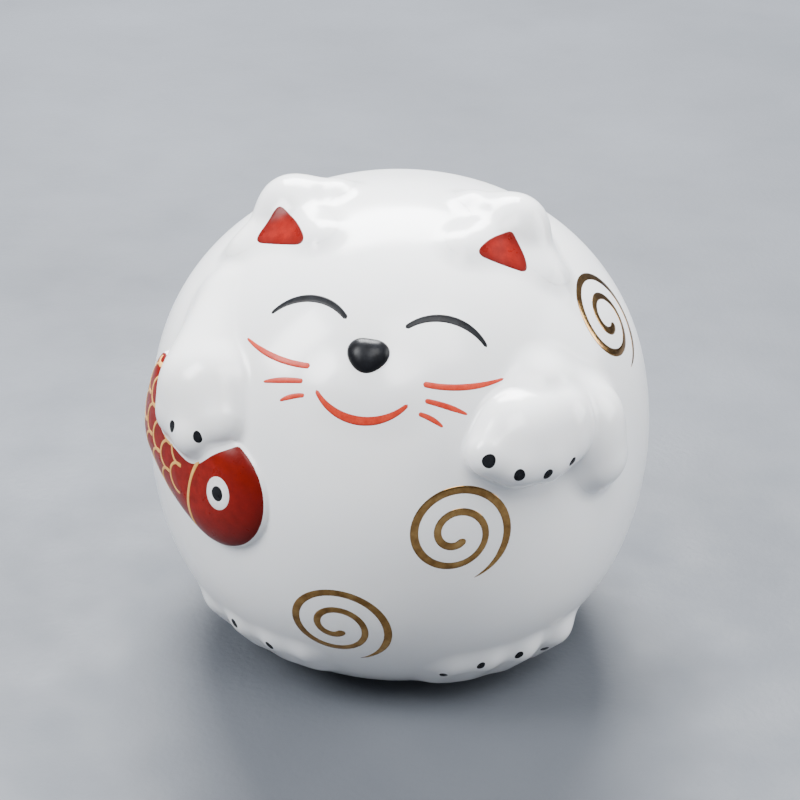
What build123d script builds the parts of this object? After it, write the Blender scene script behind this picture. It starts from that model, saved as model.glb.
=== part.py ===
from build123d import *
from math import asin, atan2, cos, degrees, hypot, pi, radians, sin, sqrt
import os

# A hollow glazed porcelain cat with one paw raised, a fish under the other arm.
# Millimetres. The origin is the middle of the foot ring's resting face, +Z is up and the
# cat looks toward -Y. Left and right are the cat's own, so its left side is +X.
# A place on the ball is given by its azimuth (0 in front, + to the cat's left) and its
# latitude above the ball's middle, both in degrees.

# The ball: flattened arcs at the flank and the crown, joined by a rounder shoulder arc.
ball_radius = 45.0
ball_height_above_ring = 39.5
flank_arc = 60.0
shoulder_offset = 5.03
wall = 3.5

# The bare foot ring that the cat stands on, and the vent that the kiln needs.
ring_outer = 22.5
ring_inner = 18.5
ring_height = 1.5
ring_chamfer = 0.4
vent_diameter = 6.0

# Fired-on colours stand proud of the glaze by their own thickness.
enamel = 0.2
clearance_depth = 12.0

# Nose, ears and tail.
face_place, face_tilt = (0.0, 41.5), -3.7
nose_width, nose_height, nose_proud = 6.7, 5.4, 1.5
nose_tip_width = 1.6
ear_azimuth, ear_latitude = 68.0, 60.0
ear_root_radius, ear_tip_radius = 10.0, 4.8
ear_root_depth, ear_tip_reach = 6.5, 47.0
ear_tip_place = (84.0, 66.0)
lining_places = {"left": (56.0, 61.4), "right": (-58.0, 61.4)}
lining_corners = {
    "left": [(-4.9, 1.2), (2.6, 2.0), (1.4, -4.4)],
    "right": [(-1.7, -4.1), (-3.0, 1.6), (6.4, 1.6)],
}
tail_root, tail_tip = (172.0, -24.0), (166.0, -9.0)
tail_root_radius, tail_tip_radius = 6.5, 5.0
tail_root_reach, tail_tip_reach = 41.0, 46.0

# Arms and paws.
forearm_elbow, forearm_wrist = (57.5, 16.0), (48.0, 30.0)
forearm_elbow_radius, forearm_wrist_radius = 7.4, 8.0
forearm_depth = 42.5
paw_heel, paw_fingers, paw_depth = (44.5, 23.5), (32.5, 22.5), 44.4
paw_heel_radius, paw_fingers_radius = 8.0, 7.8
fish_arm_shoulder, fish_arm_paw = (-60.0, 42.0), (-43.0, 23.5)
fish_arm_shoulder_radius, fish_arm_paw_radius = 8.4, 9.2
fish_arm_shoulder_depth, fish_arm_paw_depth = 39.4, 43.2

# Feet: each toe is a short ridge up the ball's side, and the gaps between toes widen
# toward the flank.
toe_count, toe_step, toe_spread = 4, 8.6, 1.1
toe_first_left, toe_first_right = 25.5, 16.0
toe_sole_latitude, toe_tip_latitude = -46.0, -38.0
toe_radius, toe_root_radius = 5.0, 5.8
toe_root_reach, toe_tip_reach = 42.0, 43.1
sole_gap = 0.35

# Black toe marks lie in rows that arch over a crest: the crest's azimuth and latitude, and
# how fast the row falls away from it.
mark_radius = 1.1
mark_gap = 0.12
mark_reach = 52.0
paw_mark_step = 6.0
paw_left_first, paw_left_crest, paw_left_curl = 26.0, (38.5, 16.6), -0.027
paw_right_first, paw_right_crest, paw_right_curl = -41.0, (-38.0, 17.6), 0.0
foot_left_crest, foot_right_crest, foot_curl = (38.0, -35.5), (-36.0, -33.5), 0.012

# The fish, drawn flat on its own plane and wrapped onto the ball.
fish_place = (-44.0, 5.0)
fish_proud = 2.6
fish_eye_spot = (10.3, 1.2)
fish_eye_radius, fish_pupil_radius = 2.7, 1.4
gill_stroke = [(7.5, 7.5), (4.2, 0.0), (5.0, -7.0), 0.7, 1.1, 0.6]
scale_radius, scale_line, scale_half_arc = 2.7, 0.6, 70.0
scale_first, scale_row_step, scale_gap = 0.6, 3.2, 5.6
scale_row_starts = [-3.2, -0.4, 2.4, -0.4, 2.4]

# The fish's edge, arc by arc: its round head, belly, tail and back.
head_top, head_crown, throat = (9.8, 11.2), (19.2, 1.0), (7.0, -9.1)
tail_low, tail_high = (-16.8, 1.6), (-15.6, 16.6)
fish_arcs = [
    (head_top, head_crown, throat),
    (throat, (-5.5, -6.4), tail_low),
    (tail_low, (-18.2, 9.0), tail_high),
    (tail_high, (-3.0, 14.6), head_top),
]

# Gold spirals: azimuth, latitude and the turn of the whole figure about its middle.
spiral_inner, spiral_pitch, spiral_turns, spiral_line = 1.5, 3.85, 2.1, 1.4
spiral_tip_angle, spiral_points = -70.0, 26
spirals = {
    "spiral_belly": (21.0, 4.5, 0.0),
    "spiral_front": (-5.0, -21.5, 0.0),
    "spiral_shoulder": (80.0, 37.0, -20.0),
    "spiral_back_left": (138.0, 2.0, 15.0),
    "spiral_back_right": (-142.0, 30.0, -10.0),
    "spiral_back_low": (-128.0, -18.0, 20.0),
}

# Brush strokes of the face in millimetres from the nose, on the cat's left half of an
# upright face: start, middle, end, and the width at each. The right half mirrors them.
eye_middle, eye_half_span, eye_rise = (11.3, 5.45), 6.6, 3.0
eye_widths = (0.8, 1.3, 0.6)
mouth_height, mouth_half_span, mouth_sag = -6.4, 7.35, 3.8
mouth_widths = (0.6, 1.5, 0.6)
whisker_strokes = [
    [(9.0, -2.8), (15.7, -1.8), (21.6, 1.2), 1.0, 1.1, 0.4],
    [(9.8, -5.3), (13.5, -5.5), (16.9, -6.0), 0.8, 1.0, 0.4],
    [(9.2, -7.5), (11.3, -7.9), (13.4, -8.8), 0.7, 0.9, 0.4],
]

ball_centre = Vector(0, 0, ball_height_above_ring)
shoulder_arc = flank_arc - hypot(flank_arc - ball_radius + shoulder_offset, shoulder_offset)
written = []


def outward(azimuth, latitude):
    """The unit vector from the ball's centre to a place on it."""
    a, b = radians(azimuth), radians(latitude)
    return Vector(sin(a) * cos(b), -cos(a) * cos(b), sin(b))


def at(place, distance):
    """The point above a place, this far from the ball's centre."""
    return ball_centre + outward(*place) * distance


def tangent_plane(place, turn=0.0):
    """The plane over a place, its x toward the cat's left and its y up the ball."""
    a = radians(place[0])
    plane = Plane(at(place, ball_radius), x_dir=(cos(a), sin(a), 0), z_dir=outward(*place))
    return plane.rotated((0, 0, turn))


def ball(grow=0.0, floor=0.0):
    """The ball with every arc grown by the same amount, cut off flat at the floor."""
    flank, shoulder = flank_arc + grow, shoulder_arc + grow
    lean = atan2(shoulder_offset, flank_arc - ball_radius + shoulder_offset)
    flank_middle = ball_radius - flank_arc
    lift = ball_height_above_ring
    crown_join = (flank * sin(lean), lift + flank_middle + flank * cos(lean))
    flank_join = (flank_middle + flank * cos(lean), lift + flank * sin(lean))
    shoulder_middle = (
        shoulder_offset + shoulder * sqrt(1 / 2),
        lift + shoulder_offset + shoulder * sqrt(1 / 2),
    )
    drop = lift - shoulder_offset - floor
    base_radius = shoulder_offset + sqrt(shoulder**2 - drop**2)
    sag_angle = (asin(drop / shoulder) + lean) / 2
    lower_middle = (
        shoulder_offset + shoulder * cos(sag_angle),
        lift - shoulder_offset - shoulder * sin(sag_angle),
    )
    crown_top = (0, lift + flank_middle + flank)
    crown_middle = (
        flank * sin(lean / 2),
        lift + flank_middle + flank * cos(lean / 2),
    )
    with BuildPart() as solid:
        with BuildSketch(Plane.XZ):
            with BuildLine():
                ThreePointArc(crown_top, crown_middle, crown_join)
                ThreePointArc(crown_join, shoulder_middle, flank_join)
                ThreePointArc(
                    flank_join,
                    (ball_radius + grow, lift),
                    (flank_join[0], 2 * lift - flank_join[1]),
                )
                ThreePointArc(
                    (flank_join[0], 2 * lift - flank_join[1]),
                    lower_middle,
                    (base_radius, floor),
                )
                Line((base_radius, floor), (0, floor))
                Line((0, floor), crown_top)
            make_face()
        revolve(axis=Axis.Z)
    return solid.part


def pear(start, end, start_radius, end_radius, grow=0.0):
    """Two round ends joined by the cone that touches both, like a rolled piece of clay."""
    start_radius, end_radius = start_radius + grow, end_radius + grow
    along = end - start
    length = along.length
    lean = degrees(asin((start_radius - end_radius) / length))
    side = along.cross(ball_centre - start)
    with BuildPart() as solid:
        with BuildSketch(Plane(start, x_dir=along, z_dir=side)):
            with BuildLine():
                first = CenterArc((0, 0), start_radius, 180, -(90 + lean))
                second = CenterArc((length, 0), end_radius, 90 - lean, -(90 - lean))
                Line(first @ 1, second @ 0)
                Line(second @ 1, first @ 0)
            make_face()
        revolve(axis=Axis(start, along))
    return solid.part


def mirrored(one, side):
    """A stroke on the cat's left half (side 1), or its mirror image on the right (-1)."""
    return [(side * x, y) for x, y in one[:3]] + list(one[3:])


def toe_azimuths(first, side):
    """Where a foot's toes are, from the innermost out."""
    return [side * (first + toe_step * k + toe_spread * k**2) for k in range(toe_count)]


def arched_row(azimuths, crest, curl):
    """Places at these azimuths, on a row that falls away from its crest."""
    return [(a, crest[1] - curl * (a - crest[0]) ** 2) for a in azimuths]


def stroke(start, middle, end, start_width, middle_width, end_width):
    """One brush stroke, drawn flat, as the band between two arcs."""
    chord = Vector(*end) - Vector(*start)
    across = Vector(-chord.Y, chord.X).normalized()
    places = [Vector(*start), Vector(*middle), Vector(*end)]
    widths = [start_width, middle_width, end_width]
    over = [p + across * (w / 2) for p, w in zip(places, widths)]
    under = [p - across * (w / 2) for p, w in zip(places, widths)]
    with BuildSketch() as band:
        with BuildLine():
            ThreePointArc(*over)
            Line(over[2], under[2])
            ThreePointArc(*reversed(under))
            Line(under[0], over[0])
        make_face()
    return band.sketch


def write(builder, name):
    """Label a finished piece and export it to its own file."""
    builder.part.label = name
    export_step(builder.part, f"parts/{name}.step")
    written.append(name)


def dot_on_limb(toward, start, end, start_radius, end_radius):
    """A round spot of enamel on the skin of a limb, where it faces the given point."""
    along = end - start
    share = min(1, max(0, (toward - start).dot(along) / along.length**2))
    middle = start + along * share
    under = start_radius + (end_radius - start_radius) * share + mark_gap
    over = under + enamel
    aim = (toward - middle).normalized()
    spread = asin(mark_radius / over)
    with BuildPart() as dot:
        with BuildSketch(Plane(middle, x_dir=aim, z_dir=aim.cross(Vector(0, 0, 1)))):
            with BuildLine():
                Line((under, 0), (over, 0))
                rim = CenterArc((0, 0), over, 0, degrees(spread))
                inner = CenterArc((0, 0), under, degrees(spread), -degrees(spread))
                Line(rim @ 1, inner @ 0)
            make_face()
        revolve(axis=Axis(middle, aim))
    return dot.part


os.makedirs("parts", exist_ok=True)
plain_ball = ball()
paw_limb = (
    at(paw_heel, paw_depth),
    at(paw_fingers, paw_depth),
    paw_heel_radius,
    paw_fingers_radius,
)
forearm_limb = (
    at(forearm_elbow, forearm_depth),
    at(forearm_wrist, forearm_depth),
    forearm_elbow_radius,
    forearm_wrist_radius,
)
fish_arm_limb = (
    at(fish_arm_shoulder, fish_arm_shoulder_depth),
    at(fish_arm_paw, fish_arm_paw_depth),
    fish_arm_shoulder_radius,
    fish_arm_paw_radius,
)
with BuildPart() as ball_film:
    add(ball(enamel))
    add(plain_ball, mode=Mode.SUBTRACT)
    for limb in (paw_limb, forearm_limb, fish_arm_limb):
        add(pear(*limb), mode=Mode.SUBTRACT)

# ---- the hollow body -----------------------------------------------------------------
with BuildPart() as body_shell:
    add(ball(floor=ring_height))
    add(ball(-wall, floor=ring_height + wall), mode=Mode.SUBTRACT)
    with BuildSketch(Plane.XY):
        Circle(vent_diameter / 2)
    extrude(amount=ring_height + 2 * wall, mode=Mode.SUBTRACT)
write(body_shell, "body_shell")

with BuildPart() as foot_ring:
    with BuildSketch(Plane.XY):
        Circle(ring_outer)
        Circle(ring_inner, mode=Mode.SUBTRACT)
    extrude(amount=ring_height)
    resting_edges = foot_ring.edges().group_by(Axis.Z)[0]
    chamfer(resting_edges, length=ring_chamfer)
write(foot_ring, "foot_ring")

# ---- ears and their red linings ------------------------------------------------------
for side, hand in ((1, "left"), (-1, "right")):
    ear_limb = (
        at((side * ear_azimuth, ear_latitude), ball_radius - ear_root_depth),
        at((side * ear_tip_place[0], ear_tip_place[1]), ear_tip_reach),
        ear_root_radius,
        ear_tip_radius,
    )
    with BuildPart() as ear:
        add(pear(*ear_limb))
        add(plain_ball, mode=Mode.SUBTRACT)
    write(ear, f"ear_{hand}")

    with BuildPart() as ear_lining:
        with BuildSketch(tangent_plane(lining_places[hand])):
            with BuildLine():
                Polyline(*lining_corners[hand], close=True)
            make_face()
        extrude(amount=clearance_depth / 2, both=True)
        add(pear(*ear_limb, enamel), mode=Mode.INTERSECT)
        add(pear(*ear_limb), mode=Mode.SUBTRACT)
        add(plain_ball, mode=Mode.SUBTRACT)
    write(ear_lining, f"ear_lining_{hand}")

# ---- the face ------------------------------------------------------------------------
face_plane = tangent_plane(face_place, face_tilt)

with BuildPart() as nose:
    with BuildSketch(face_plane):
        with BuildLine():
            ThreePointArc(
                (-nose_width / 2, nose_height / 5),
                (0, nose_height / 2),
                (nose_width / 2, nose_height / 5),
            )
            Line((nose_width / 2, nose_height / 5), (nose_tip_width / 2, -nose_height / 2))
            Line((nose_tip_width / 2, -nose_height / 2), (-nose_tip_width / 2, -nose_height / 2))
            Line((-nose_tip_width / 2, -nose_height / 2), (-nose_width / 2, nose_height / 5))
        make_face()
    extrude(amount=clearance_depth / 2, both=True)
    add(ball(nose_proud), mode=Mode.INTERSECT)
    add(plain_ball, mode=Mode.SUBTRACT)
write(nose, "nose")

eye_x, eye_y = eye_middle
eye_stroke = [
    (eye_x - eye_half_span, eye_y),
    (eye_x, eye_y + eye_rise),
    (eye_x + eye_half_span, eye_y),
    *eye_widths,
]
mouth_stroke = [
    (-mouth_half_span, mouth_height),
    (0, mouth_height - mouth_sag),
    (mouth_half_span, mouth_height),
    *mouth_widths,
]
face_strokes = {"mouth": [mouth_stroke]}
for side, hand in ((1, "left"), (-1, "right")):
    face_strokes[f"eye_{hand}"] = [mirrored(eye_stroke, side)]
    face_strokes[f"whiskers_{hand}"] = [mirrored(one, side) for one in whisker_strokes]
for name, strokes in face_strokes.items():
    with BuildPart() as painted:
        with BuildSketch(face_plane):
            for one in strokes:
                add(stroke(*one))
        extrude(amount=clearance_depth, both=True)
        add(ball_film.part, mode=Mode.INTERSECT)
    write(painted, name)

# ---- arms and paws -------------------------------------------------------------------
with BuildPart() as paw_left:
    add(pear(*paw_limb))
    add(plain_ball, mode=Mode.SUBTRACT)
write(paw_left, "paw_left")

with BuildPart() as forearm_left:
    add(pear(*forearm_limb))
    add(pear(*paw_limb), mode=Mode.SUBTRACT)
    add(plain_ball, mode=Mode.SUBTRACT)
write(forearm_left, "forearm_left")

with BuildPart() as arm_right:
    add(pear(*fish_arm_limb))
    add(plain_ball, mode=Mode.SUBTRACT)
write(arm_right, "arm_right")

# ---- feet ----------------------------------------------------------------------------
def toe_limb(azimuth):
    """One toe, from its sole to its tip."""
    return (
        at((azimuth, toe_sole_latitude), toe_root_reach),
        at((azimuth, toe_tip_latitude), toe_tip_reach),
        toe_root_radius,
        toe_radius,
    )


toes_left = toe_azimuths(toe_first_left, 1)
toes_right = toe_azimuths(toe_first_right, -1)
for toes, hand in ((toes_left, "left"), (toes_right, "right")):
    with BuildPart() as foot:
        for azimuth in toes:
            add(pear(*toe_limb(azimuth)))
        split(bisect_by=Plane.XY.offset(sole_gap), keep=Keep.TOP)
        add(ball(floor=-1), mode=Mode.SUBTRACT)
        with BuildSketch(Plane.XY.offset(-1)):
            Circle(ring_outer + sole_gap)
        extrude(amount=ring_height + 2, mode=Mode.SUBTRACT)
    write(foot, f"foot_{hand}")

# ---- toe marks -----------------------------------------------------------------------
paw_left_marks = [paw_left_first + paw_mark_step * k for k in range(4)]
paw_right_marks = [paw_right_first + paw_mark_step * k for k in range(2)]
for azimuths, crest, curl, limb, hand in (
    (paw_left_marks, paw_left_crest, paw_left_curl, paw_limb, "left"),
    (paw_right_marks, paw_right_crest, paw_right_curl, fish_arm_limb, "right"),
):
    with BuildPart() as paw_marks:
        for place in arched_row(azimuths, crest, curl):
            add(dot_on_limb(at(place, mark_reach), *limb))
    write(paw_marks, f"paw_{hand}_marks")

for toes, crest, hand in (
    (toes_left, foot_left_crest, "left"),
    (toes_right[1:], foot_right_crest, "right"),
):
    with BuildPart() as foot_marks:
        for azimuth, place in zip(toes, arched_row(toes, crest, foot_curl)):
            add(dot_on_limb(at(place, mark_reach), *toe_limb(azimuth)))
    write(foot_marks, f"foot_{hand}_marks")

# ---- the fish ------------------------------------------------------------------------
fish_plane = tangent_plane(fish_place)


def fish_figure():
    """The flat figure inside the fish's edge."""
    with BuildSketch() as outline:
        with BuildLine():
            for start, crown, end in fish_arcs:
                ThreePointArc(start, crown, end)
        make_face()
    return outline.sketch


def fish_layer(face, bottom, top):
    """A flat figure wrapped onto the ball between two heights above its glaze."""
    with BuildPart() as layer:
        with BuildSketch(fish_plane):
            add(face)
        extrude(amount=2 * clearance_depth, both=True)
        add(ball(top), mode=Mode.INTERSECT)
        add(ball(bottom), mode=Mode.SUBTRACT)
        add(pear(*fish_arm_limb, 2 * enamel), mode=Mode.SUBTRACT)
    return layer


write(fish_layer(fish_figure(), 0, fish_proud), "fish_body")

with BuildSketch() as eye_white:
    with Locations(fish_eye_spot):
        Circle(fish_eye_radius)
        Circle(fish_pupil_radius, mode=Mode.SUBTRACT)
write(fish_layer(eye_white.sketch, fish_proud, fish_proud + enamel), "fish_eye_white")

with BuildSketch() as pupil:
    with Locations(fish_eye_spot):
        Circle(fish_pupil_radius)
write(fish_layer(pupil.sketch, fish_proud, fish_proud + enamel), "fish_pupil")

write(
    fish_layer(stroke(*gill_stroke), fish_proud, fish_proud + enamel),
    "fish_gill_band",
)

scale_centres = [
    (scale_first - scale_row_step * row, start + scale_gap * step)
    for row, start in enumerate(scale_row_starts)
    for step in range(2)
]
with BuildSketch() as scales:
    for x, y in scale_centres:
        with BuildLine():
            outer = CenterArc((x, y), scale_radius, 180 - scale_half_arc, 2 * scale_half_arc)
            inner = CenterArc(
                (x, y), scale_radius - scale_line, 180 + scale_half_arc, -2 * scale_half_arc
            )
            Line(outer @ 1, inner @ 0)
            Line(inner @ 1, outer @ 0)
        make_face()
write(fish_layer(scales.sketch, fish_proud, fish_proud + enamel), "fish_scales")

# ---- gold spirals --------------------------------------------------------------------
def spiral_point(turns, across=0.0):
    """A place along the spiral, shifted across its line; turns run from the middle out."""
    radius = spiral_inner + spiral_pitch * turns + across
    angle = radians(spiral_tip_angle) - 2 * pi * (turns - spiral_turns)
    return (radius * cos(angle), radius * sin(angle))


def spiral_face():
    """The band between the spiral's two edges, pinched to a point at its outer end."""
    shares = [k / spiral_points for k in range(spiral_points + 1)]
    places = [spiral_turns * share for share in shares]
    half = [spiral_line / 2 * min(1, 4 * (1 - share) + 0.1) for share in shares]
    outer = [spiral_point(t, h) for t, h in zip(places, half)]
    inner = [spiral_point(t, -h) for t, h in zip(places, half)]
    with BuildSketch() as band:
        with BuildLine():
            Spline(*outer)
            Line(outer[-1], inner[-1])
            Spline(*reversed(inner))
            Line(inner[0], outer[0])
        make_face()
    return band.sketch


for name, (azimuth, latitude, turn) in spirals.items():
    with BuildPart() as gold:
        with BuildSketch(tangent_plane((azimuth, latitude), turn)):
            add(spiral_face())
        extrude(amount=clearance_depth / 2, both=True)
        add(ball_film.part, mode=Mode.INTERSECT)
    write(gold, name)

# ---- the tail ------------------------------------------------------------------------
with BuildPart() as tail:
    add(
        pear(
            at(tail_root, tail_root_reach),
            at(tail_tip, tail_tip_reach),
            tail_root_radius,
            tail_tip_radius,
        )
    )
    add(plain_ball, mode=Mode.SUBTRACT)
write(tail, "tail")

print(written)
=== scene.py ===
from math import atan2, cos, hypot, pi, radians, sin, sqrt

import bmesh
import bpy
import numpy as np
from mathutils import Matrix, Vector


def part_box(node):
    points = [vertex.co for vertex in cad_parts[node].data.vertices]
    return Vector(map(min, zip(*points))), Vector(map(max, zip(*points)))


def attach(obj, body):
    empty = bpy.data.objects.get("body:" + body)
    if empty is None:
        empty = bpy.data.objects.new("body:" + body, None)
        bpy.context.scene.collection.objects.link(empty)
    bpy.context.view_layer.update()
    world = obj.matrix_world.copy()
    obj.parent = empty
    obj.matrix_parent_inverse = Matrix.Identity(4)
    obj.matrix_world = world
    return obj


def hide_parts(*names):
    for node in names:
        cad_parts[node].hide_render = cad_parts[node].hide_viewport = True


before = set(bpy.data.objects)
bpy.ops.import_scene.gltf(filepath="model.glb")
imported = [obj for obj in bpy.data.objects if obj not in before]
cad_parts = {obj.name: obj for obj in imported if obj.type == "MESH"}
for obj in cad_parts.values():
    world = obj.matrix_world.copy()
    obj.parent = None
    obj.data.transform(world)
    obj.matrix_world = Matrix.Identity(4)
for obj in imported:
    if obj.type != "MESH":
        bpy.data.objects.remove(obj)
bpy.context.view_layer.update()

# ---------------------------------------------------------------------------
# Design values in millimetres and degrees, in the frame of the CAD model.
# A place on the ball is (azimuth, latitude): azimuth 0 is the cat's front and
# grows toward the cat's left, latitude is measured from the ball's middle.
# ---------------------------------------------------------------------------
MM = 0.001
ball_low, ball_high = (np.array(c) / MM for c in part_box("body_shell"))
RADIUS = (ball_high[0] - ball_low[0]) / 2
MIDDLE = np.array([0.0, 0.0, ball_high[2] - RADIUS])
FLANK_ARC = 60.0
SHOULDER = 5.03
CROWN_LEAN = atan2(SHOULDER, FLANK_ARC - RADIUS + SHOULDER)
SHOULDER_ARC = FLANK_ARC - hypot(FLANK_ARC - RADIUS + SHOULDER, SHOULDER)
RING_TOP = ball_low[2]
WALL = 3.5
VENT_RADIUS = 3.0

FACE = (0.0, 41.5)
FACE_TILT = -3.7


# ---------------------------------------------------------------------------
# Places and directions
# ---------------------------------------------------------------------------
def outward(azimuth, latitude):
    a, b = radians(azimuth), radians(latitude)
    return np.array([sin(a) * cos(b), -cos(a) * cos(b), sin(b)])


def at(place, distance):
    """A point measured from the ball's middle."""
    return outward(*place) * distance


def chart(place, turn=0.0):
    """A place's outward, leftward and upward unit vectors, turned about the first."""
    out = outward(*place)
    a, t = radians(place[0]), radians(turn)
    left = np.array([cos(a), sin(a), 0.0])
    up = np.cross(out, left)
    return out, left * cos(t) + up * sin(t), up * cos(t) - left * sin(t)


def unit(v):
    return v / np.linalg.norm(v, axis=-1, keepdims=True)


def wrap(points, frame_at):
    """Directions of flat chart points (N, 2) when the chart is rolled onto the ball."""
    out, left, up = frame_at
    flat = np.asarray(points, float)
    length = np.linalg.norm(flat, axis=1)
    angle = length / RADIUS
    share = np.where(length > 1e-9, np.sin(angle) / np.maximum(length, 1e-9), 0)
    side = flat[:, :1] * left + flat[:, 1:] * up
    return np.cos(angle)[:, None] * out + side * share[:, None]


# ---------------------------------------------------------------------------
# Distance fields: negative inside, in millimetres from the ball's middle
# ---------------------------------------------------------------------------
def ball_field(p, grow=0.0):
    """The flattened ball of the CAD model: flank, shoulder and crown arcs."""
    rho = np.hypot(p[:, 0], p[:, 1])
    z = np.abs(p[:, 2])
    inset = FLANK_ARC - RADIUS
    flank = np.arctan2(z, rho + inset) < CROWN_LEAN
    crown = np.arctan2(rho, z + inset) < CROWN_LEAN
    shoulder = np.hypot(rho - SHOULDER, z - SHOULDER) - SHOULDER_ARC
    return np.where(
        flank,
        np.hypot(rho + inset, z) - FLANK_ARC,
        np.where(crown, np.hypot(rho, z + inset) - FLANK_ARC, shoulder),
    ) - grow


def sphere_field(p, centre, radius):
    return np.linalg.norm(p - centre, axis=1) - radius


def pear_field(p, a, b, ra, rb):
    """Two round ends joined by the cone that touches both."""
    ba = b - a
    l2 = ba @ ba
    rr = ra - rb
    a2 = l2 - rr * rr
    pa = p - a
    y = pa @ ba
    z = y - l2
    x2 = ((pa * l2 - y[:, None] * ba) ** 2).sum(1)
    y2, z2 = y * y * l2, z * z * l2
    k = np.sign(rr) * rr * rr * x2
    cone = (np.sqrt(x2 * a2 / l2) + y * rr) / l2 - ra
    far = np.sqrt(x2 + z2) / l2 - rb
    near = np.sqrt(x2 + y2) / l2 - ra
    return np.where(
        np.sign(z) * a2 * z2 > k, far, np.where(np.sign(y) * a2 * y2 < k, near, cone)
    )


def blend(d1, d2, size):
    """The smaller of two distances, with a glaze-filled crease of this size."""
    h = np.maximum(size - np.abs(d1 - d2), 0) / size
    return np.minimum(d1, d2) - h * h * size / 4


def pears_field(p, shapes, size):
    d = pear_field(p, *shapes[0])
    for shape in shapes[1:]:
        d = blend(d, pear_field(p, *shape), size)
    return d


# A foot's toes: the step between them and its growth in degrees, and how far from the ball's
# middle a toe with no lift is at its low and its high end.
TOE_STEP, TOE_SPREAD = 8.6, 1.1
TOE_LOW, TOE_HIGH = 45.2, 46.2


def toe_azimuths(first, side, count=4):
    """Where a foot's toes are, from the innermost out; the gaps widen toward the flank."""
    return [side * (first + TOE_STEP * k + TOE_SPREAD * k * k) for k in range(count)]


def arched_row(azimuths, crest, curl):
    """Places at these azimuths, on a row that falls away from its crest."""
    return [(a, crest[1] - curl * (a - crest[0]) ** 2) for a in azimuths]


def toes(azimuths, low, high, radius, proud, growth):
    """A foot: ridges up the ball's side from sole to tip, prouder toward the flank."""
    foot = []
    for k, azimuth in enumerate(azimuths):
        lift = proud + growth * k - radius
        foot.append((at((azimuth, low), TOE_LOW + lift), at((azimuth, high), TOE_HIGH + lift),
                     radius + 0.8, radius))
    return foot


TOES_LEFT, TOES_RIGHT = toe_azimuths(25.5, 1), toe_azimuths(16.0, -1)


def ear_shapes(side):
    """A low mound: two ridges and a back that climb to the tip, over a front lip."""
    tip = np.array([side * 19.0, -2.6, 41.0])
    inner, outer = np.array([side * 11.4, -13.4, 39.9]), np.array([side * 24.6, -8.6, 34.8])
    return [
        (outer, tip, 4.2, 5.4),
        (inner, tip, 3.8, 5.4),
        (inner, outer, 3.4, 3.4),
        (np.array([side * 12.2, -0.5, 42.0]), tip, 4.6, 5.2),
    ]


# Each limb: its clay shapes, the softness inside it and of its join to the body.
LIMBS = {
    "ear_left": (ear_shapes(1), 3.0, 2.6),
    "ear_right": (ear_shapes(-1), 3.0, 2.6),
    "forearm_left": ([
        (at((37, 26), 41.6), at((46, 30.5), 41.8), 7.0, 7.2),
        (at((46, 30.5), 41.8), at((56.5, 21.5), 43.0), 7.2, 7.3),
        (at((56.5, 21.5), 43.0), at((58.0, 13.8), 43.4), 7.3, 6.5),
    ], 3.0, 2.4),
    "paw_left": ([
        (at((45.8, 24.4), 44.8), at((36, 23.8), 44.4), 7.4, 7.7),
        (at((45, 25), 44), at((44.6, 20.6), 47.6), 6.0, 3.8),
        (at((40, 25), 44), at((39.6, 18.8), 47.8), 6.0, 4.0),
        (at((36, 25), 44), at((33.4, 19.2), 47.8), 6.0, 4.1),
        (at((34, 25), 44), at((28.0, 21.8), 47.2), 6.0, 4.0),
    ], 2.4, 0.9),
    "arm_right": ([
        (at((-60, 42), 39.4), at((-45.0, 25.5), 43.2), 8.4, 9.4),
        (at((-47, 27), 43), at((-46.8, 18.2), 47.0), 7.0, 4.2),
        (at((-44, 27), 43), at((-39.6, 17.2), 47.4), 7.0, 4.4),
        (at((-40, 27), 43), at((-34.4, 21.8), 45.8), 7.0, 4.6),
    ], 2.4, 1.6),
    "foot_left": (toes(TOES_LEFT, -47.5, -39.2, 4.5, 1.4, 0.5), 2.6, 2.4),
    "foot_right": (toes(TOES_RIGHT, -42.5, -37.0, 3.9, 1.0, 0.12), 2.6, 2.4),
    "tail": ([
        (at((172, -24), 41.0), at((166, -9), 45.5), 6.2, 5.0),
        (at((166, -9), 45.5), at((158, -4), 45.5), 5.0, 4.2),
    ], 2.5, 1.8),
}

FISH_PLACE = (-44, 5)
FISH_CHART = chart(FISH_PLACE)
FISH_PROUD = 2.9
FISH_HUB = (0.0, 3.5)
FISH_CREASE = 0.5


def arc_through(start, middle, end, count):
    """Chart points on the circle through three chart points."""
    a, b, c = (np.array(p, float) for p in (start, middle, end))
    lhs = 2 * np.array([b - a, c - a])
    hub = np.linalg.solve(lhs, [b @ b - a @ a, c @ c - a @ a])
    turn = [atan2(*(p - hub)[::-1]) for p in (a, b, c)]
    sweep = (turn[2] - turn[0]) % (2 * pi)
    if (turn[1] - turn[0]) % (2 * pi) > sweep:
        sweep -= 2 * pi
    angle = turn[0] + sweep * np.linspace(0, 1, count)
    return hub + np.linalg.norm(a - hub) * np.stack([np.cos(angle), np.sin(angle)], 1)


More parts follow.
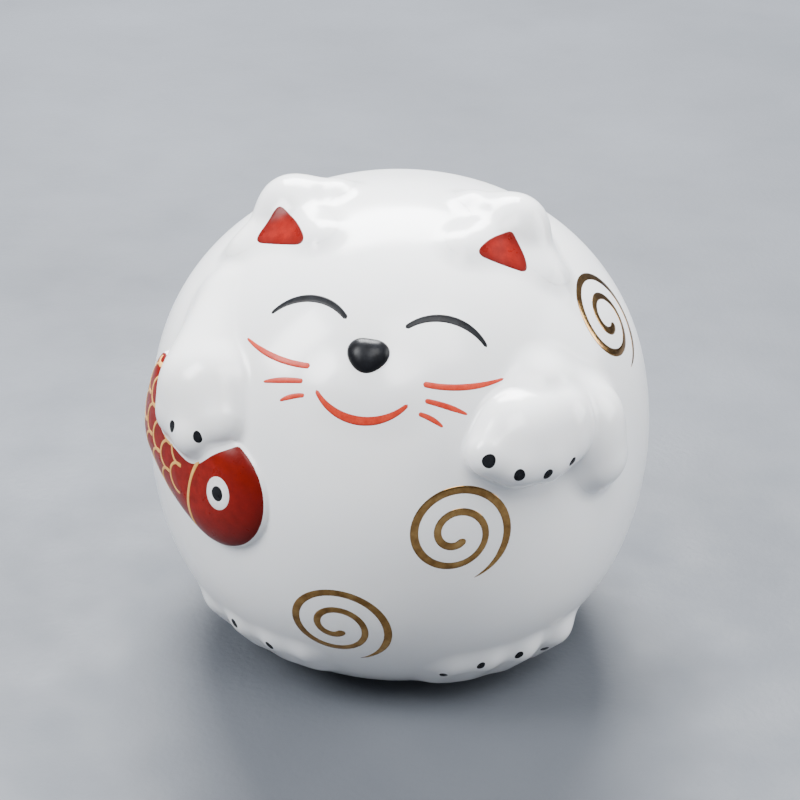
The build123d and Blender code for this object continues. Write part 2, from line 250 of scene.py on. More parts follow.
def rounded(corners, bulges, hub, softness, count=144):
    """Radii round a hub of a figure with arched sides and softened corners."""
    corners = np.array(corners, float)
    sides = []
    for a, b, bulge in zip(corners, np.roll(corners, -1, 0), bulges):
        middle = (a + b) / 2
        away = unit(np.array([b[1] - a[1], a[0] - b[0]]))
        away = away * np.sign(away @ (middle - hub))
        sides.append(arc_through(a, middle + away * bulge, b, 60)[:-1] - hub)
    p = np.concatenate(sides)
    angle = np.arctan2(p[:, 1], p[:, 0])
    order = np.argsort(angle)
    even = np.linspace(-pi, pi, count, endpoint=False)
    radii = np.interp(even, angle[order], np.hypot(p[:, 0], p[:, 1])[order], period=2 * pi)
    reach = int(softness * count)
    for _ in range(2):
        radii = np.mean([np.roll(radii, k) for k in range(-reach // 2, reach // 2 + 1)], axis=0)
    return radii


# The fish's edge: its corners, and how far each side bulges: head, belly, tail and back.
FISH_CORNERS = [(9.8, 11.2), (7.0, -9.1), (-16.8, 1.6), (-15.6, 16.6)]
FISH_BULGES = (10.8, 1.1, 1.8, 0.9)
FISH_ANGLES = np.linspace(-pi, pi, 360, endpoint=False)
FISH_RADII = rounded(FISH_CORNERS, FISH_BULGES, FISH_HUB, 0.012, 360)


def fish_rim(angle):
    """How far the fish's edge lies from its hub at these angles."""
    return np.interp(angle, FISH_ANGLES, FISH_RADII, period=2 * pi)


def fish_inside(p):
    """How far inside the fish's edge a point lies, in chart millimetres."""
    out, left, up = FISH_CHART
    d = unit(p)
    along = np.arccos(np.clip(d @ out, -1, 1)) * RADIUS
    x, y = d @ left, d @ up
    flat = np.maximum(np.hypot(x, y), 1e-9)
    x, y = x / flat * along - FISH_HUB[0], y / flat * along - FISH_HUB[1]
    rim = fish_rim(np.arctan2(y, x))
    return np.where(d @ out > 0.3, (rim - np.hypot(x, y)) * 0.8, -20)


def fish_field(p):
    """A low relief with rounded sides, as high as FISH_PROUD above the ball."""
    inside = fish_inside(p)
    rise = np.sqrt(1 - (1 - np.clip(inside, 0, 7.5) / 7.5) ** 2)
    return ball_field(p) - FISH_PROUD * rise + np.clip(-inside, 0, 1) * 1.5


def head_field(p):
    """The face and its muzzle, a little proud of the ball."""
    head = sphere_field(p, at((3, 55), 4.6), 42.3)
    cheek = [sphere_field(p, at(place, 39.6), 7.4) for place in ((-5.2, 34.5), (6.0, 34.5))]
    return blend(head, blend(cheek[0], cheek[1], 3.0), 3.0)


def body_field(p):
    return blend(ball_field(p), head_field(p), 1.2)


def fish_skin(p):
    """The body with the fish on it, without any limb."""
    return blend(body_field(p), fish_field(p), FISH_CREASE)


def limb_field(name, p):
    shapes, inner, _ = LIMBS[name]
    return pears_field(p, shapes, inner)


def skin_field(p, names=None):
    """The whole glazed skin: the body and the fish, with the limbs luted on."""
    d = fish_skin(p)
    for name in (LIMBS if names is None else names):
        d = blend(d, limb_field(name, p), LIMBS[name][2])
    return d


# How far out a point starts before it drops onto the ball or onto a limb.
BALL_START, LIMB_START = 60.0, 40.0


def drop(origins, directions, field):
    """Slides points along their directions until they lie on a field's surface."""
    t = np.zeros(len(origins))
    for _ in range(60):
        d = field(origins + directions * t[:, None])
        t += d * 0.9
        if np.abs(d).max() < 2e-4:
            break
    return origins + directions * t[:, None]


def on_ball(directions, field):
    """The skin's points in these directions from the ball's middle."""
    inward = -directions
    return drop(directions * BALL_START, inward, field)


def slope(p, field, step=0.02):
    """The outward unit normal of a field."""
    axes = np.eye(3) * step
    return unit(np.stack([field(p + a) - field(p - a) for a in axes], 1))


# ---------------------------------------------------------------------------
# Materials: procedural, with object-space patterns in metres
# ---------------------------------------------------------------------------
class Shader:
    """A node material with short calls for the nodes that it needs."""

    def __init__(self, name, **sockets):
        self.material = bpy.data.materials.new(name)
        self.material.use_nodes = True
        self.tree = self.material.node_tree
        self.surface = self.tree.nodes["Principled BSDF"]
        for key, value in sockets.items():
            self.set(key.replace("_", " "), value)

    def set(self, socket, value):
        if isinstance(value, bpy.types.NodeSocket):
            self.tree.links.new(value, self.surface.inputs[socket])
        else:
            self.surface.inputs[socket].default_value = value

    def node(self, kind, **inputs):
        node = self.tree.nodes.new(kind)
        for key, value in inputs.items():
            socket = node.inputs[key.replace("_", " ")]
            if isinstance(value, bpy.types.NodeSocket):
                self.tree.links.new(value, socket)
            else:
                socket.default_value = value
        return node

    def place(self):
        """Object coordinates, in metres."""
        return self.tree.nodes.new("ShaderNodeTexCoord").outputs["Object"]

    def noise(self, size, detail=3.0, rough=0.5):
        """Noise with features of this size in metres."""
        return self.node("ShaderNodeTexNoise", Vector=self.place(), Scale=1 / size,
                         Detail=detail, Roughness=rough).outputs["Fac"]

    def ramp(self, value, *stops):
        """Maps a value through stops of (position, colour or grey)."""
        node = self.node("ShaderNodeValToRGB", Fac=value)
        points = node.color_ramp.elements
        for k, (position, shade) in enumerate(stops):
            point = points[k] if k < 2 else points.new(position)
            point.position = position
            point.color = (*shade, 1) if isinstance(shade, tuple) else (shade,) * 3 + (1,)
        return node.outputs["Color"]

    def mix(self, share, first, second, mode="MIX"):
        node = self.tree.nodes.new("ShaderNodeMix")
        node.data_type = "RGBA"
        node.blend_type = mode
        for index, value in ((0, share), (6, first), (7, second)):
            socket = node.inputs[index]
            if isinstance(value, bpy.types.NodeSocket):
                self.tree.links.new(value, socket)
            elif index == 0:
                socket.default_value = value
            else:
                socket.default_value = (*value, 1)
        return node.outputs[2]

    def attribute(self, name):
        node = self.tree.nodes.new("ShaderNodeAttribute")
        node.attribute_name = name
        return node.outputs["Fac"]

    def bump(self, height, depth, strength=1.0):
        node = self.node("ShaderNodeBump", Height=height, Distance=depth, Strength=strength)
        self.set("Normal", node.outputs["Normal"])


def porcelain():
    """Clear gloss glaze over a white body: faint cloudiness and orange peel."""
    s = Shader("porcelain", Subsurface_Weight=0.12, Subsurface_Scale=0.0015,
               Subsurface_Radius=(1.0, 0.8, 0.6), Coat_Weight=0.15, Coat_Roughness=0.1,
               IOR=1.5)
    clouds = s.noise(0.018, 4.0)
    tint = s.ramp(clouds, (0.35, (0.885, 0.892, 0.9)), (0.65, (0.915, 0.915, 0.91)))
    specks = s.node("ShaderNodeTexVoronoi", Vector=s.place(), Scale=130.0)
    dots = s.ramp(specks.outputs["Distance"], (0.02, 1.0), (0.035, 0.0))
    rare = s.ramp(s.noise(0.006, 1.0), (0.66, 0.0), (0.7, 0.35))
    fleck = s.node("ShaderNodeMath")
    fleck.operation = "MULTIPLY"
    s.tree.links.new(dots, fleck.inputs[0])
    s.tree.links.new(rare, fleck.inputs[1])
    s.set("Base Color", s.mix(fleck.outputs[0], tint, (0.55, 0.5, 0.44)))
    s.set("Roughness", s.ramp(s.noise(0.012, 3.0), (0.3, 0.17), (0.7, 0.24)))
    s.bump(s.noise(0.0035, 2.0), 0.00003)
    return s.material


def enamel(name, thin, thick, dark, roughness=(0.26, 0.38), size=0.0016,
           shine=0.18):
    """Fired-on colour: thick and thin washes, with pigment gathered at the brush's rim."""
    s = Shader(name, Specular_IOR_Level=shine)
    wash = s.ramp(s.noise(size, 4.0, rough=0.6), (0.32, thin), (0.68, thick))
    fine = s.ramp(s.noise(size / 6, 2.0), (0.4, 0.88), (0.6, 1.0))
    toned = s.mix(1.0, wash, fine, "MULTIPLY")
    rim = s.ramp(s.attribute("rim"), (0.55, 0.0), (0.95, 0.75))
    s.set("Base Color", s.mix(rim, toned, dark))
    s.set("Roughness", s.ramp(s.noise(size * 1.5), (0.3, roughness[0]), (0.7, roughness[1])))
    s.bump(s.noise(size / 2, 3.0), 0.00002)
    return s.material


def gold_lustre():
    """Bright gold burned on with a brush: streaked, with dark and bright patches of painted
    reflection in its colour, and worn thin at its edges.
    """
    s = Shader("gold_lustre", Metallic=1.0)
    # Brush streaks and painted reflection: this noise runs the gold's colour from dark brown to
    # bright, in patches that stand for dark and bright surroundings mirrored in the metal.
    streak_and_painted_reflection = s.noise(0.0022, 5.0, rough=0.65)
    tone = s.ramp(streak_and_painted_reflection, (0.3, (0.2, 0.1, 0.035)), (0.5, (0.4, 0.22, 0.075)),
                  (0.72, (0.6, 0.37, 0.14)))
    rim = s.ramp(s.attribute("rim"), (0.6, 0.0), (1.0, 0.6))
    s.set("Base Color", s.mix(rim, tone, (0.25, 0.14, 0.05)))
    s.set("Roughness", s.ramp(s.noise(0.0012, 3.0), (0.3, 0.08), (0.7, 0.18)))
    s.bump(s.noise(0.0009, 3.0), 0.00001)
    return s.material


def biscuit():
    """Unglazed ground clay: matt and finely pitted."""
    s = Shader("bare_biscuit")
    s.set("Base Color", s.ramp(s.noise(0.004, 5.0), (0.3, (0.62, 0.58, 0.52)),
                               (0.7, (0.76, 0.73, 0.68))))
    s.set("Roughness", s.ramp(s.noise(0.002), (0.3, 0.75), (0.7, 0.92)))
    s.bump(s.noise(0.0004, 4.0), 0.00008)
    return s.material


def pale_floor():
    s = Shader("pale_floor")
    s.set("Base Color", s.ramp(s.noise(0.09, 5.0), (0.3, (0.068, 0.075, 0.088)),
                               (0.7, (0.094, 0.103, 0.119))))
    s.set("Roughness", s.ramp(s.noise(0.02, 4.0), (0.3, 0.55), (0.7, 0.72)))
    s.bump(s.noise(0.0012, 5.0), 0.0001)
    return s.material


MATERIALS = {
    "porcelain": porcelain(),
    "bare_biscuit": biscuit(),
    "red_enamel": enamel("red_enamel", (0.25, 0.009, 0.005), (0.17, 0.006, 0.003),
                         (0.1, 0.003, 0.002)),
    "coral_enamel": enamel("coral_enamel", (0.6, 0.06, 0.03), (0.46, 0.03, 0.015),
                           (0.3, 0.014, 0.008)),
    "black_enamel": enamel("black_enamel", (0.014, 0.015, 0.018), (0.006, 0.006, 0.007),
                           (0.004, 0.004, 0.005), (0.24, 0.34), shine=0.12),
    "white_enamel": enamel("white_enamel", (0.86, 0.86, 0.86), (0.9, 0.9, 0.89),
                           (0.7, 0.68, 0.66)),
    "ochre_enamel": enamel("ochre_enamel", (0.82, 0.47, 0.13), (0.68, 0.34, 0.08),
                           (0.5, 0.2, 0.06)),
    "gold_lustre": gold_lustre(),
}


# ---------------------------------------------------------------------------
# Meshes
# ---------------------------------------------------------------------------
def add_piece(name, points, faces, slot, nodes, rim=None):
    """A smooth piece from points in millimetres round the ball's middle."""
    mesh = bpy.data.meshes.new(name)
    mesh.from_pydata(((points + MIDDLE) * MM).tolist(), [], faces)
    bm = bmesh.new()
    bm.from_mesh(mesh)
    bmesh.ops.recalc_face_normals(bm, faces=bm.faces)
    bm.to_mesh(mesh)
    bm.free()
    mesh.shade_smooth()
    if rim is not None:
        values = mesh.attributes.new("rim", "FLOAT", "POINT")
        values.data.foreach_set("value", np.asarray(rim, np.float32))
    piece = bpy.data.objects.new(name, mesh)
    bpy.context.scene.collection.objects.link(piece)
    mesh.materials.append(MATERIALS[slot])
    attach(piece, "root")
    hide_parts(*nodes)
    return piece


def icosphere(level):
    bm = bmesh.new()
    bmesh.ops.create_icosphere(bm, subdivisions=level, radius=1.0)
    return bm


def directions_of(bm):
    return unit(np.array([v.co for v in bm.verts]))


def faces_of(bm):
    bm.verts.index_update()
    return [[v.index for v in f.verts] for f in bm.faces]


def nearest_limb(p):
    return np.minimum.reduce([limb_field(name, p) for name in LIMBS])


def refine(bm, closeness):
    """Splits the body's edges that lie near where a limb or the fish joins it."""
    bm.verts.index_update()
    p = on_ball(directions_of(bm), body_field)
    near = (np.abs(nearest_limb(p)) < closeness) | (np.abs(fish_inside(p) - 0.6) < closeness)
    edges = [e for e in bm.edges if near[e.verts[0].index] or near[e.verts[1].index]]
    bmesh.ops.subdivide_edges(bm, edges=edges, cuts=1, use_grid_fill=True)
    bmesh.ops.triangulate(bm, faces=[f for f in bm.faces if len(f.verts) > 3])


def body_shell():
    """The glazed ball with its flat underside, kiln vent and hollow inside."""
    bm = icosphere(7)
    refine(bm, 2.4)
    refine(bm, 1.0)
    directions = directions_of(bm)
    p = on_ball(directions, skin_field)
    own = nearest_limb(p) - fish_skin(p)
    # Under a limb the body sinks a little, so that the limb covers it.
    p = p - directions * (0.08 * np.clip(-own, 0, 4) ** 2)[:, None]
    for v, co in zip(bm.verts, p):
        v.co = co
    floor = RING_TOP - MIDDLE[2]
    everything = bm.verts[:] + bm.edges[:] + bm.faces[:]
    bmesh.ops.bisect_plane(bm, geom=everything, dist=1e-5, plane_co=(0, 0, floor),
                           plane_no=(0, 0, 1), clear_inner=True)
    rim = [v for v in bm.verts if v.is_boundary]
    rim.sort(key=lambda v: atan2(v.co.y, v.co.x))
    angles = [atan2(v.co.y, v.co.x) for v in rim]
    edge = 0.4
    profile = [(radius, floor) for radius in (20.0, 12.0, 7.0, VENT_RADIUS + edge)]
    profile += [(VENT_RADIUS + edge * 0.3, floor + edge * 0.3), (VENT_RADIUS, floor + edge),
                (VENT_RADIUS, floor + WALL - edge), (VENT_RADIUS + edge, floor + WALL)]
    meridian = np.array([outward(0, lat) for lat in np.arange(-51.0, 90.0, 3.0)])
    inner = on_ball(meridian, lambda q: ball_field(q, -WALL))
    inner = inner[inner[:, 2] > floor + WALL + 0.5]
    corner = hypot(inner[0, 0], inner[0, 1])
    profile += [(corner * 0.4, floor + WALL), (corner * 0.85, floor + WALL)]
    profile += [(hypot(q[0], q[1]), q[2]) for q in inner]
    ring = rim
    for radius, height in profile:
        fresh = [bm.verts.new((radius * cos(a), radius * sin(a), height)) for a in angles]
        for k, v in enumerate(ring):
            j = (k + 1) % len(ring)
            bm.faces.new((v, ring[j], fresh[j], fresh[k]))
        ring = fresh
    bm.faces.new(ring)
    bm.verts.index_update()
    points = np.array([v.co for v in bm.verts])
    faces = faces_of(bm)
    bm.free()
    add_piece("body_shell_glazed", points, faces, "porcelain", ["body_shell"])


def limb_core(name):
    return np.mean([(a + b) / 2 for a, b, _, _ in LIMBS[name][0]], axis=0)


def limb(name, level):
    """One limb as a closed form whose outside is the skin and whose root is buried."""
    shapes, inner, _ = LIMBS[name]
    core = limb_core(name)
    bm = icosphere(level)
    directions = directions_of(bm)
    faces = faces_of(bm)
    bm.free()
    p = drop(core + directions * LIMB_START, -directions,
             lambda q: pears_field(q, shapes, inner))
    near = [other for other in LIMBS if np.linalg.norm(limb_core(other) - core) < 32]

    def rest(q):
        d = fish_skin(q)
        for other in near:
            if other != name:
                d = blend(d, limb_field(other, q), LIMBS[other][2])
        return d

    def skin(q):
        return skin_field(q, near)

    own = rest(p)
    shown = own > -1.0
    q = p[shown]
    for _ in range(4):
        n = slope(q, skin)
        for _ in range(2):
            q = q - n * skin(q)[:, None]
    share = np.clip(-own[shown], 0, 1)
    share = share * share * (3 - 2 * share)
    # The limb lies a hair above the skin that it shares with the body.
    q = q + slope(q, skin) * 0.003
    p[shown] = q * (1 - share)[:, None] + p[shown] * share[:, None]
    add_piece(name + "_glazed", p, faces, "porcelain", [name])


def foot_ring():
    """The bare unglazed ring that the figurine stands on."""
    low, high = (np.array(c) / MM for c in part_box("foot_ring"))
    outer, width, soft = (high[0] - low[0]) / 2, 4.0, 0.4
    corner = [(-1, soft), (-0.7, soft * 0.3), (-0.3, 0.08), (0, 0)]
    profile = [(outer, high[2]), (outer, (high[2] + soft) / 2)]
    profile += [(outer - soft * (1 + s), z) for s, z in corner]
    profile += [(outer - width / 2, 0)]
    profile += [(outer - width + soft * (1 + s), z) for s, z in reversed(corner)]
    profile += [(outer - width, (high[2] + soft) / 2), (outer - width, high[2])]
    turns = np.linspace(0, 2 * pi, 160, endpoint=False)
    points = np.array([(r * cos(a), r * sin(a), z) for r, z in profile for a in turns])
    rows, n = len(profile), len(turns)
    faces = grid_faces(rows, n, True)
    faces += [((rows - 1) * n + c, (rows - 1) * n + (c + 1) % n, (c + 1) % n, c)
              for c in range(n)]
    add_piece("foot_ring_bare", points - MIDDLE, faces, "bare_biscuit", ["foot_ring"])


def grid_faces(rows, columns, closed=False):
    """Quads of a grid of points; closed grids wrap round in their columns."""
    last = columns if closed else columns - 1
    return [(r * columns + c, r * columns + (c + 1) % columns,
             (r + 1) * columns + (c + 1) % columns, (r + 1) * columns + c)
            for r in range(rows - 1) for c in range(last)]


# ---------------------------------------------------------------------------
# Painted and raised layers: flat figures in millimetres, laid on the skin
# ---------------------------------------------------------------------------
def rolled(place, turn=0.0, field=skin_field):
    """Lays a figure on the skin by rolling its chart round the ball."""
    frame_at = chart(place, turn)
    return lambda flat: on_ball(wrap(flat, frame_at), field)


def pressed(spot, turn=0.0):
    """Lays a small figure on a limb by pressing it along the skin's own normal."""
    spot = np.array(spot, float)[None]
    for _ in range(6):
        spot = spot - slope(spot, skin_field) * skin_field(spot)[:, None]
    n = slope(spot, skin_field)[0]
    side = unit(np.cross((0, 0, 1.0), n))
    up = np.cross(n, side)
    t = radians(turn)
    side, up = side * cos(t) + up * sin(t), up * cos(t) - side * sin(t)

    def lay(flat):
        flat = np.asarray(flat, float)
        start = spot + flat[:, :1] * side + flat[:, 1:] * up + n * 0.8
        return drop(start, np.tile(-n, (len(flat), 1)), skin_field)

    return lay


def layer(name, slot, nodes, parts, depth=0.1, field=skin_field):
    """A thin piece on the skin from parts of (base, lift, rim, faces, border)."""
    points, faces, rims = [], [], []
    offset = 0
    for base, lift, rim, part_faces, border in parts:
        normal = slope(base, field, 0.05)
        n = len(base)
        points += [base + normal * lift[:, None], base - normal * depth]
        rims += [rim, rim]
        faces += [[offset + i for i in f] for f in part_faces]
        faces += [[offset + n + i for i in reversed(f)] for f in part_faces]
        for a, b in zip(border, border[1:] + border[:1]):
            faces.append([offset + b, offset + a, offset + n + a, offset + n + b])
        offset += 2 * n
    return add_piece(name, np.concatenate(points), faces, slot, nodes, np.concatenate(rims))


def stroke(line, widths, lay, thick=0.07, across=9):
    """A brush stroke along chart points, as one part for layer()."""
    line = np.asarray(line, float)
    along = unit(np.gradient(line, axis=0))
    side = np.stack([-along[:, 1], along[:, 0]], 1)
    t = np.linspace(-1, 1, across)
    half = np.asarray(widths, float) / 2
    flat = line[:, None] + side[:, None] * (t[None, :, None] * half[:, None, None])
    rows = len(line)
    dome = 1 - t**4
    ends = np.clip(np.minimum(np.arange(rows), np.arange(rows)[::-1]) / 3, 0, 1) ** 0.5
    lift = thick * dome[None] * ends[:, None] - 0.01
    rim = np.maximum(np.abs(t)[None], 1 - ends[:, None])
    border = (list(range(across)) + [r * across + across - 1 for r in range(1, rows)]
              + [(rows - 1) * across + c for c in range(across - 2, -1, -1)]
              + [r * across for r in range(rows - 2, 0, -1)])
    return lay(flat.reshape(-1, 2)), lift.ravel(), rim.ravel(), grid_faces(rows, across), border


def brush(start, middle, end, widths, lay, thick=0.07, count=44):
    """An arc stroke whose width goes from its start through its middle to its end."""
    t = np.linspace(0, 1, count)
    a, b, c = widths
    swell = a + (b - a) * np.sin(np.clip(2 * t, 0, 1) * pi / 2)
    swell = np.where(t > 0.5, c + (b - c) * np.sin(np.clip(2 - 2 * t, 0, 1) * pi / 2), swell)
    length = np.linalg.norm(np.subtract(end, start))
    round_ends = np.clip(np.minimum(t, 1 - t) * length / (0.5 * max(a, c)), 0.004, 1)
    width = swell * np.sqrt(1 - (1 - round_ends) ** 2)
    return stroke(arc_through(start, middle, end, count), width, lay, thick)


def patch(radii, hub, lay, thick, rings=10, power=4.0, edge=0.01):
    """A filled figure as rings from its hub to its rim, as one part for layer()."""
    count = len(radii)
    angle = np.linspace(-pi, pi, count, endpoint=False)
    share = np.linspace(0.0, 1.0, rings + 1)[1:] ** 0.8
    x = hub[0] + np.outer(share, radii * np.cos(angle))
    y = hub[1] + np.outer(share, radii * np.sin(angle))
    flat = np.concatenate([[hub], np.stack([x.ravel(), y.ravel()], 1)])
    s = np.concatenate([[0], np.repeat(share, count)])
    lift = thick * np.clip(1 - s**power, 0, 1) ** 0.7 - edge
    faces = [(0, 1 + c, 1 + (c + 1) % count) for c in range(count)]
    faces += [[1 + i for i in f] for f in grid_faces(rings, count, True)]
    border = [1 + (rings - 1) * count + c for c in range(count)]
    return lay(flat), lift, s, faces, border


def spot_patch(lay, radius, thick=0.06, wobble=0.04, seed=0.0, stretch=1.0):
    """A dab of the brush: an uneven disc, stretched up or down."""
    angle = np.linspace(-pi, pi, 48, endpoint=False)
    uneven = 1 + wobble * (np.sin(2 * angle + seed) + 0.7 * np.sin(3 * angle + 2.1 * seed))
    oval = 1 / np.hypot(np.cos(angle), np.sin(angle) / stretch)
    return patch(radius * uneven * oval, (0.0, 0.0), lay, thick)


def spiral(lay, turns=2.1, pitch=3.85, start=1.5, line=1.4, tail_angle=-70.0):
    """A lustre spiral: a round hook inside, and a tail that runs out to a point."""
    t = np.linspace(0, 1, 190)
    sweep = turns * 2 * pi
    angle = radians(tail_angle) + sweep * (1 - t)
    radius = start + pitch * turns * t
    points = np.stack([radius * np.cos(angle), radius * np.sin(angle)], 1)
    uneven = 1 + 0.07 * np.sin(9 * t + 1.0) + 0.05 * np.sin(23 * t)
    arc = np.concatenate([[0], np.cumsum(np.linalg.norm(np.diff(points, axis=0), axis=1))])
    hook = np.clip(arc / (line * 0.5), 0.01, 1)
    point = np.clip((arc[-1] - arc) / (line * 5.0), 0.02, 1)
    width = line * uneven * np.sqrt(1 - (1 - hook) ** 2) * point**0.7
    return stroke(points, width, lay, 0.05, 7)


# ---------------------------------------------------------------------------
# The pieces
# ---------------------------------------------------------------------------
COARSE_LIMBS = ("ear_left", "ear_right", "tail")
body_shell()
for limb_name in LIMBS:
    limb(limb_name, 6 if limb_name in COARSE_LIMBS else 7)
foot_ring()

face = rolled(FACE, FACE_TILT)
EYE_MIDDLE, EYE_HALF_SPAN, EYE_RISE = (11.3, 5.45), 6.6, 3.0
MOUTH_HEIGHT, MOUTH_HALF_SPAN, MOUTH_SAG = -6.4, 7.35, 3.8
WHISKERS = [
    ((9.0, -2.8), (15.7, -1.8), (21.6, 1.2), (1.0, 1.1, 0.4)),
    ((9.8, -5.3), (13.5, -5.5), (16.9, -6.0), (0.8, 1.0, 0.4)),
    ((9.2, -7.5), (11.3, -7.9), (13.4, -8.8), (0.7, 0.9, 0.4)),
]


def face_stroke(start, middle, end, widths, side=1):
    """A stroke on the cat's left half (side 1), or its mirror image on the right (-1)."""
    return brush(*((side * x, y) for x, y in (start, middle, end)), widths, face)


eye_x, eye_y = EYE_MIDDLE
for side, hand in ((1, "left"), (-1, "right")):
    layer(f"eye_{hand}_brushed", "black_enamel", [f"eye_{hand}"],
          [face_stroke((eye_x - EYE_HALF_SPAN, eye_y), (eye_x, eye_y + EYE_RISE),
                       (eye_x + EYE_HALF_SPAN, eye_y), (0.8, 1.4, 0.6), side)])
    layer(f"whiskers_{hand}_brushed", "coral_enamel", [f"whiskers_{hand}"],
          [face_stroke(*one, side) for one in WHISKERS])
layer("mouth_brushed", "coral_enamel", ["mouth"],
      [face_stroke((-MOUTH_HALF_SPAN, MOUTH_HEIGHT), (0, MOUTH_HEIGHT - MOUTH_SAG),
                   (MOUTH_HALF_SPAN, MOUTH_HEIGHT), (0.6, 1.5, 0.6))])

NOSE = [(-3.8, 1.0), (-0.2, 2.45), (3.4, 1.0), (-0.2, -3.1)]
layer("nose_raised", "black_enamel", ["nose"],
      [patch(rounded(NOSE, (0.9, 0.9, 0.7, 0.7), (-0.2, 0.2), 0.13), (-0.2, 0.2), face, 1.5,
             rings=16, power=2.4)], depth=0.5)

for name, middle, corners in (
        ("left", (56, 61.4), [(-5.2, 1.3), (3.0, 2.3), (1.5, -4.9)]),
        ("right", (-58, 61.4), [(-1.8, -4.6), (-3.5, 2.0), (7.0, 1.7)])):
    layer(f"ear_lining_{name}_brushed", "red_enamel", [f"ear_lining_{name}"],
          [patch(rounded(corners, (0.8, 0.8, 0.2), (0.0, 0.2), 0.035), (0.0, 0.2),
                 rolled(middle), 0.06, rings=14, power=20.0)])


def dab_marks(name, places, reach, radius, stretch, turn, shrink=0.0):
    """Dark dabs of a brush where the claws are, each smaller than the last by shrink."""
    dabs = []
    for k, place in enumerate(places):
        dabs.append(spot_patch(pressed(at(place, reach), turn), radius - shrink * k,
                               seed=1.7 * k + len(name), stretch=stretch))
    layer(name + "_dabbed", "black_enamel", [name], dabs)


PAW_STEP = 6.0
dab_marks("paw_left_marks",
          arched_row([26.0 + PAW_STEP * k for k in range(4)], (38.5, 16.6), -0.027),
          51.2, 1.1, 1.25, -20, 0.13)
dab_marks("paw_right_marks",
          arched_row([-41.0 + PAW_STEP * k for k in range(2)], (-38.0, 17.6), 0.0),
          50.6, 0.83, 1.35, 10)
dab_marks("foot_left_marks", arched_row([a - 2.8 for a in TOES_LEFT], (38.0, -36.8), 0.012),
          46.8, 0.76, 1.25, -20)
dab_marks("foot_right_marks", arched_row(TOES_RIGHT[1:], (-36.0, -34.0), 0.016),
          46.7, 0.73, 1.35, 20)

# The fish: a relief under the right paw, painted red to just inside its edge, with its gill
# and scales drawn in ochre.
on_fish = rolled(FISH_PLACE, 0.0, fish_skin)
painted = fish_rim(np.linspace(-pi, pi, 240, endpoint=False)) - 0.35
layer("fish_body_brushed", "red_enamel", ["fish_body"],
      [patch(painted, FISH_HUB, on_fish, 0.06, rings=40, power=30.0)],
      depth=2.2, field=fish_skin)
GILL = arc_through((8.0, 8.6), (4.2, 0.0), (5.1, -7.2), 60)
layer("fish_gill_brushed", "ochre_enamel", ["fish_gill_band"],
      [stroke(GILL, 0.75 + 0.1 * np.sin(np.linspace(0, 9, 60)), on_fish, 0.13)],
      depth=0.15, field=fish_skin)

scales = []
for row, x in enumerate(np.arange(1.4, -12.0, -3.3)):
    for step in range(-3, 5):
        y = 0.6 + step * 4.8 + (2.4 if row % 2 else 0.0) - 0.02 * x * x
        arc = arc_through((x + 0.7, y - 2.4), (x - 2.6, y), (x + 0.7, y + 2.4), 28)
        room = fish_inside(wrap(arc, FISH_CHART) * RADIUS)
        gill_x = np.interp(arc[:, 1], GILL[::-1, 1], GILL[::-1, 0])
        keep = (room > 0.7) & (arc[:, 0] < gill_x - 0.1)
        if keep.sum() > 8:
            line = arc[keep]
            if np.abs(np.diff(np.nonzero(keep)[0])).max() == 1:
                scales.append(stroke(line, np.full(len(line), 0.62), on_fish, 0.12, 7))
layer("fish_scales_brushed", "ochre_enamel", ["fish_scales"], scales, 0.15, fish_skin)

FISH_EYE = (10.7, 1.9)
layer("fish_eye_white_brushed", "white_enamel", ["fish_eye_white"],
      [spot_patch(lambda flat: on_fish(flat + FISH_EYE), 2.5, 0.14, 0.01, 1.0, 1.25)],
      depth=0.15, field=fish_skin)
layer("fish_pupil_brushed", "black_enamel", ["fish_pupil"],
      [spot_patch(lambda flat: on_fish(flat + FISH_EYE), 1.35, 0.2, 0.02, 2.0, 1.2)],
      depth=0.1, field=fish_skin)

for name, azimuth, latitude, turn in (
        ("belly", 21, 4.5, 0), ("front", -5, -21.5, 0), ("shoulder", 80, 37, -20),
        ("back_left", 138, 2, 15), ("back_right", -142, 30, -10), ("back_low", -128, -18, 20)):
    layer(f"spiral_{name}_gilded", "gold_lustre", [f"spiral_{name}"],
          [spiral(rolled((azimuth, latitude), turn))])


# ---------------------------------------------------------------------------
# Floor, lights and camera
# ---------------------------------------------------------------------------
def floor():
    bpy.ops.mesh.primitive_grid_add(x_subdivisions=8, y_subdivisions=8, size=6.0)
    ground = bpy.context.object
    ground.name = "floor"
    ground.data.materials.append(pale_floor())


# Lights aim at this height in metres. The camera's angles are in degrees, and the point that it
# looks at and its distance are in metres.
LIGHT_AIM = 0.04
CAMERA_AZIMUTH, CAMERA_ELEVATION, CAMERA_ROLL = 8.5, 28.0, 1.5
AIM_HEIGHT, AIM_SHIFT, CAMERA_DISTANCE = 0.0395, 0.0042, 0.4033


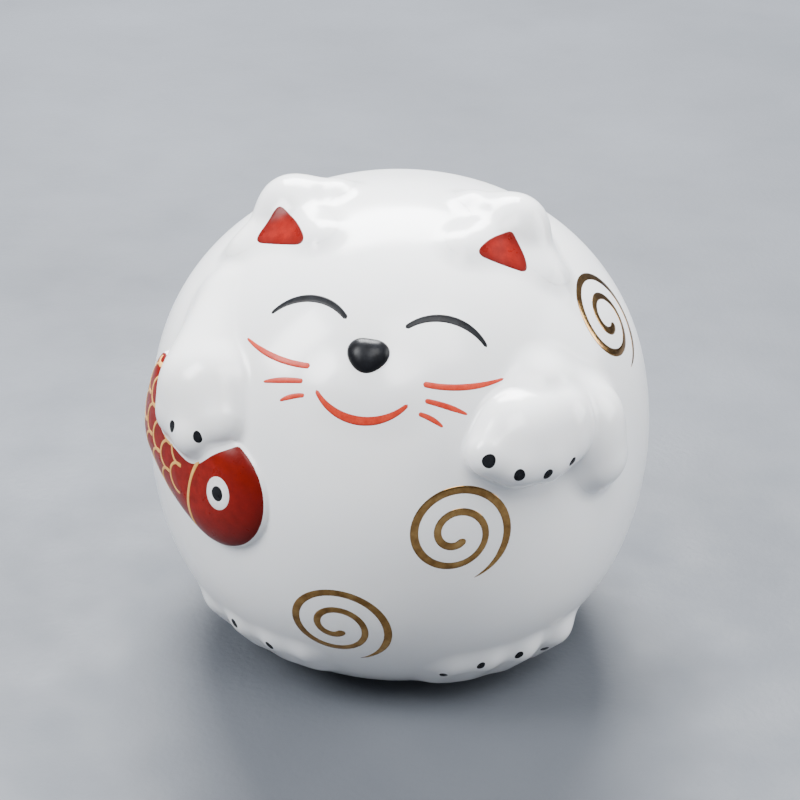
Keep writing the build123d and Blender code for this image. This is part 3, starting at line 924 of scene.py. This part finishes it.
def softbox(name, azimuth, elevation, distance, size, power, colour=(1, 1, 1)):
    data = bpy.data.lights.new(name, "AREA")
    data.shape = "RECTANGLE"
    data.size, data.size_y = size
    data.energy = power
    data.color = colour
    data.spread = pi
    lamp = bpy.data.objects.new(name, data)
    bpy.context.scene.collection.objects.link(lamp)
    away = Vector(outward(azimuth, elevation))
    lamp.location = Vector((0, 0, LIGHT_AIM)) + away * distance
    lamp.rotation_euler = away.to_track_quat("Z", "Y").to_euler()


def camera():
    a, e, roll = (radians(v) for v in (CAMERA_AZIMUTH, CAMERA_ELEVATION, CAMERA_ROLL))
    back = Vector((sin(a) * cos(e), -cos(a) * cos(e), sin(e)))
    right = Vector((cos(a), sin(a), 0))
    up = back.cross(right)
    data = bpy.data.cameras.new("camera")
    data.lens, data.sensor_width = 100.0, 36.0
    eye = bpy.data.objects.new("camera", data)
    bpy.context.scene.collection.objects.link(eye)
    place = Vector((0, 0, AIM_HEIGHT)) + up * AIM_SHIFT + back * CAMERA_DISTANCE
    right, up = right * cos(roll) + up * sin(roll), up * cos(roll) - right * sin(roll)
    matrix = Matrix((right, up, back)).transposed().to_4x4()
    eye.matrix_world = Matrix.Translation(place) @ matrix
    bpy.context.scene.camera = eye


def surroundings():
    world = bpy.data.worlds.new("studio")
    bpy.context.scene.world = world
    world.use_nodes = True
    tree = world.node_tree
    coords = tree.nodes.new("ShaderNodeTexCoord")
    split = tree.nodes.new("ShaderNodeSeparateXYZ")
    ramp = tree.nodes.new("ShaderNodeValToRGB")
    tree.links.new(coords.outputs["Generated"], split.inputs[0])
    tree.links.new(split.outputs["Z"], ramp.inputs["Fac"])
    tree.links.new(ramp.outputs["Color"], tree.nodes["Background"].inputs["Color"])
    stops = ramp.color_ramp.elements
    stops[0].position, stops[0].color = 0.0, (0.16, 0.17, 0.19, 1)
    stops[1].position, stops[1].color = 0.9, (0.62, 0.65, 0.7, 1)
    tree.nodes["Background"].inputs["Strength"].default_value = 0.95


floor()
surroundings()
camera()
# Each light: name, azimuth, elevation, distance, size in metres, watts and colour.
softbox("window", -165, 52, 1.1, (0.7, 0.5), 54.0, (0.97, 0.985, 1.0))
softbox("side_window", -62, 42, 1.2, (0.34, 0.6), 20.0, (0.98, 0.99, 1.0))
softbox("front_fill", 30, 62, 1.3, (0.7, 0.6), 16.0)
softbox("right_fill", 105, 22, 1.2, (0.8, 0.6), 13.0, (0.96, 0.98, 1.0))
